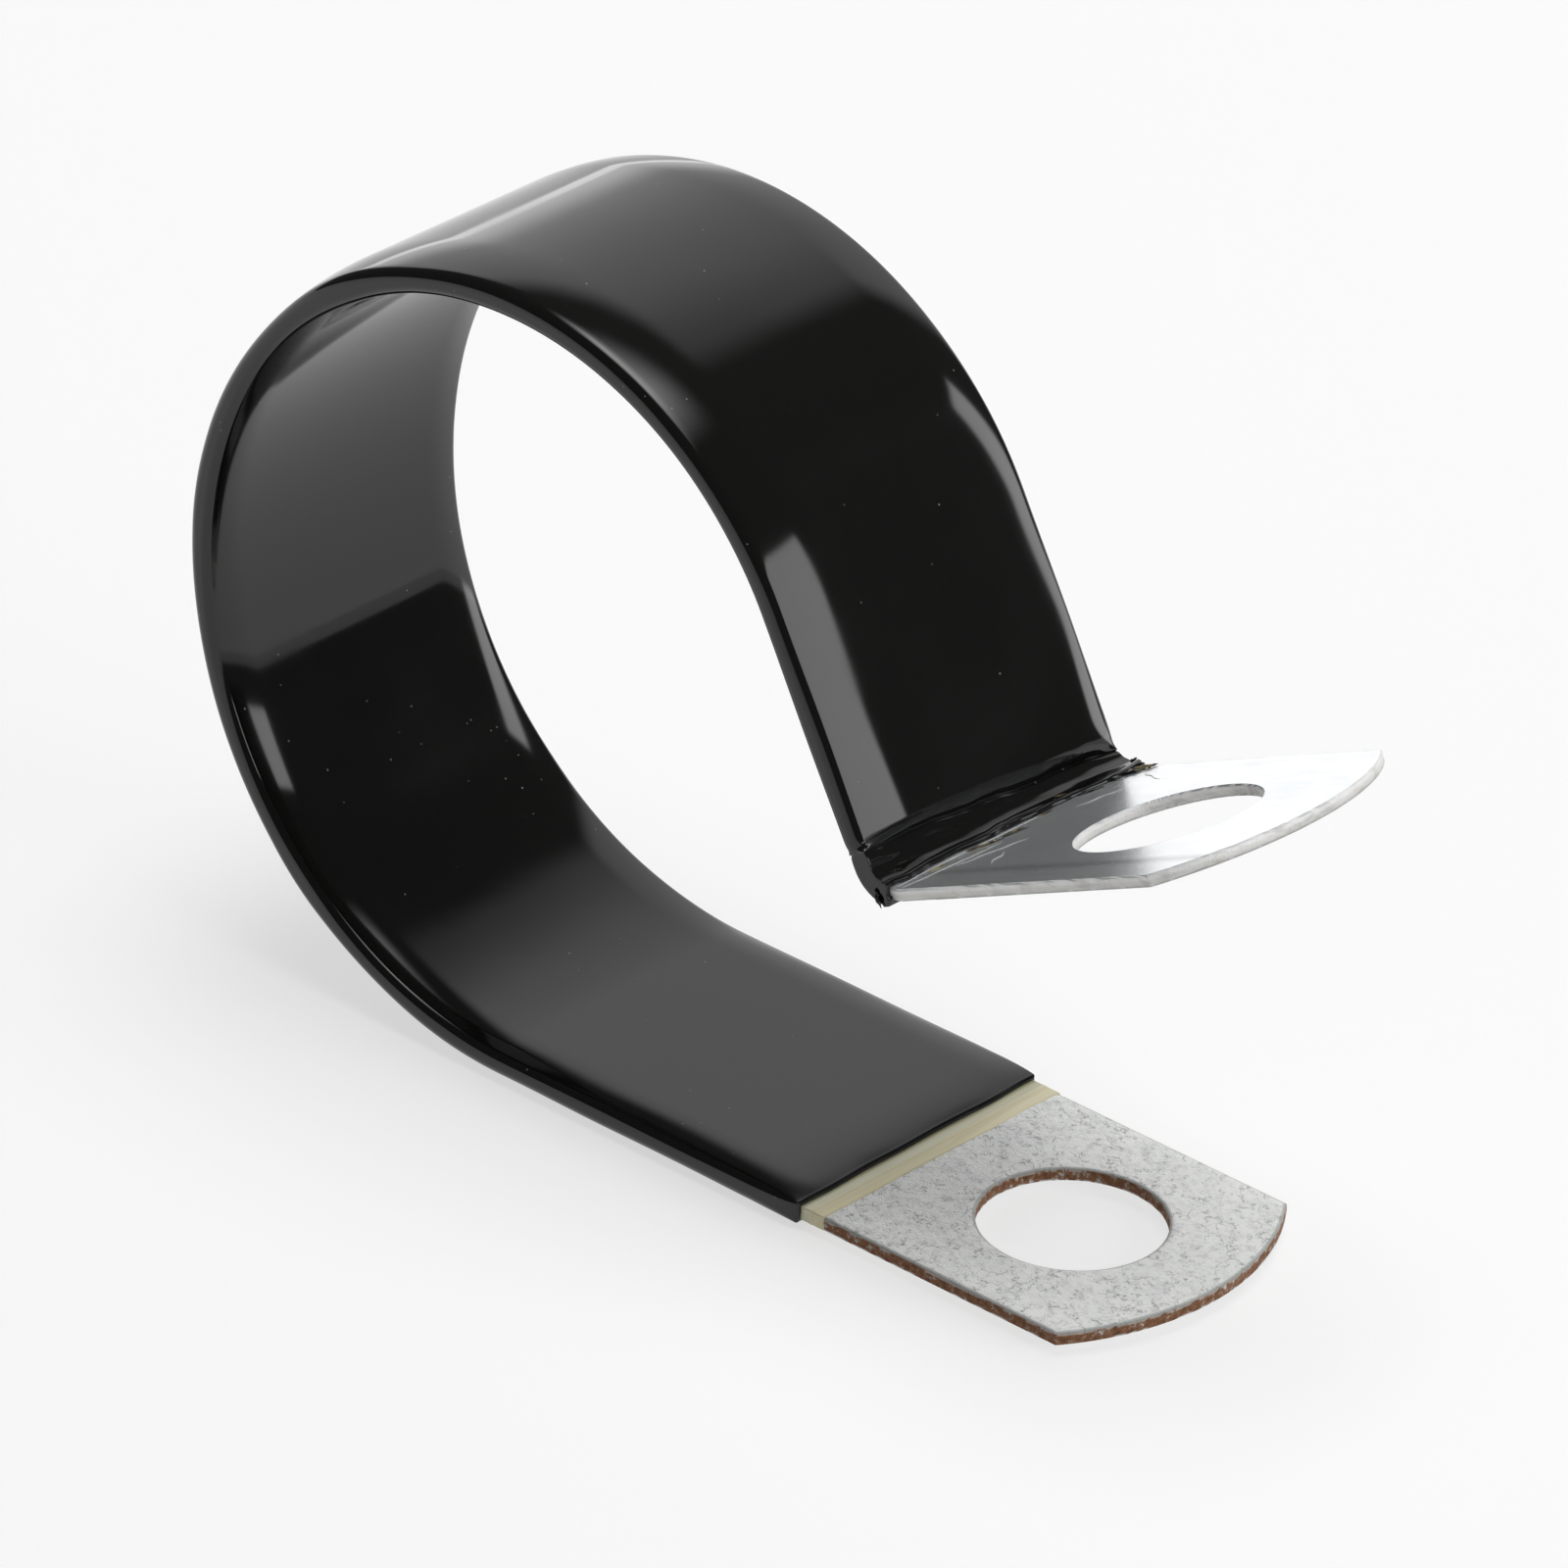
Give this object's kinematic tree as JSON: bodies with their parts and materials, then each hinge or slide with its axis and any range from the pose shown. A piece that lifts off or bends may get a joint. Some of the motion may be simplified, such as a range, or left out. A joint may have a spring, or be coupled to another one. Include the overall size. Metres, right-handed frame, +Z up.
{
  "type": "p clip",
  "caption": "Open P-shaped clip for a cable or hose: a bent steel strip, dip-coated in glossy black vinyl round its loop, with a bare bolt ear at each end.",
  "frame": {"origin": "on the surface that the coated lower leg lies on, under the middle of the clip's outline", "axes": "+X along the lower leg from the loop to the ear, Y across the strip, +Z up"},
  "size_m": [0.0758, 0.021, 0.0509],
  "materials": {
    "zinc_steel": "bare zinc-coated sheet, matt and mottled",
    "black_vinyl": "glossy dip-coated vinyl",
    "amber_primer": "thin clear amber primer film"
  },
  "bodies": {
    "root": {"steel_strap": "zinc_steel", "vinyl_coating": "black_vinyl", "primer_band": "amber_primer"}
  },
  "joints": []
}
